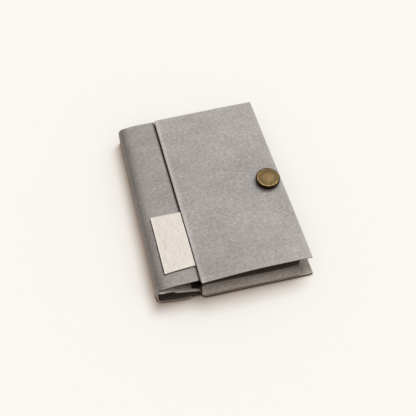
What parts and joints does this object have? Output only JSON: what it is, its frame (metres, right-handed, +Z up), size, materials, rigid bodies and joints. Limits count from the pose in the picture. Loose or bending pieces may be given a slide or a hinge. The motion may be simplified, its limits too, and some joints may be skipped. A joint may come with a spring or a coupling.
{
  "type": "paper wallet",
  "caption": "Folded paper wallet with a square spine tunnel, a gusseted pouch and a hinged top flap closed by a round press snap.",
  "frame": {"origin": "on the surface that the wallet lies on, under the middle of its bounding box", "axes": "+X from the spine to the open side, +Y from the front end to the rear end along the spine, +Z up through the closed flap"},
  "size_m": [0.0748, 0.1028, 0.0148],
  "materials": {
    "grey_paper": "matt washable paper, warm grey, faint fibre grain and soft creases",
    "label_cotton": "bare undyed cotton tape with small flecks",
    "aged_brass": "antique brass, satin, dark patina in the recess",
    "spring_steel": "plain drawn wire"
  },
  "bodies": {
    "shell": {"spine_cover": "grey_paper", "back_panel": "grey_paper", "flap_wall": "grey_paper", "pocket_divider": "grey_paper", "label": "label_cotton", "front_gusset": "grey_paper", "rear_gusset": "grey_paper"},
    "flap": {"front_flap": "grey_paper", "snap_cap": "aged_brass", "snap_socket": "aged_brass", "socket_spring": "spring_steel"},
    "pouch_lid": {"pouch_panel": "grey_paper", "snap_stud": "aged_brass", "stud_rivet": "aged_brass"}
  },
  "joints": [
    {"name": "flap_fold", "type": "hinge", "parent": "shell", "child": "flap", "pos_m": [-0.0162, 0, 0.012], "axis": [0, -1, 0], "range_deg": [0, 175]},
    {"name": "pouch_mouth", "type": "hinge", "parent": "shell", "child": "pouch_lid", "pos_m": [-0.0156, 0, 0.0088], "axis": [0, -1, 0], "range_deg": [0, 7], "deforming": ["front_gusset", "rear_gusset"]}
  ],
  "couplings": [
    {"joint": "pouch_mouth", "follows": "flap_fold", "ratio": 0.04}
  ]
}
